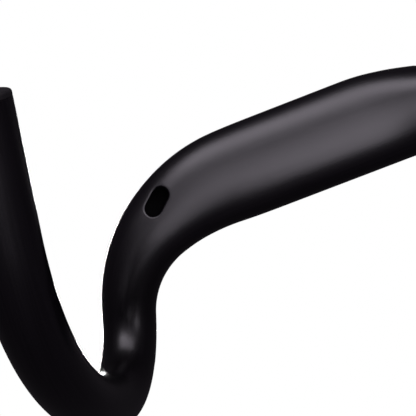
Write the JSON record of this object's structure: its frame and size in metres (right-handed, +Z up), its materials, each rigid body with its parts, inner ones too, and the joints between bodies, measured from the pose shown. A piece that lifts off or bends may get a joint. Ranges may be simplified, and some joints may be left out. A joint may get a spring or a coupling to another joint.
{
  "type": "aero drop handlebar",
  "caption": "Aero drop handlebar in matte black moulded carbon, with flattened wing tops, compact hooks, cable ports and push-in end plugs.",
  "frame": {"origin": "centre of the stem clamp zone, on its axis", "axes": "+X along the clamp's axis to the rider's right, +Y forwards in the riding direction, +Z up"},
  "size_m": [0.4726, 0.132, 0.1717],
  "materials": {
    "carbon": "satin black lacquer over moulded carbon fibre, fine grain",
    "plug": "plain moulded black plastic"
  },
  "bodies": {
    "root": {"handlebar": "carbon", "end_plug_left": "plug", "end_plug_right": "plug"}
  },
  "joints": []
}
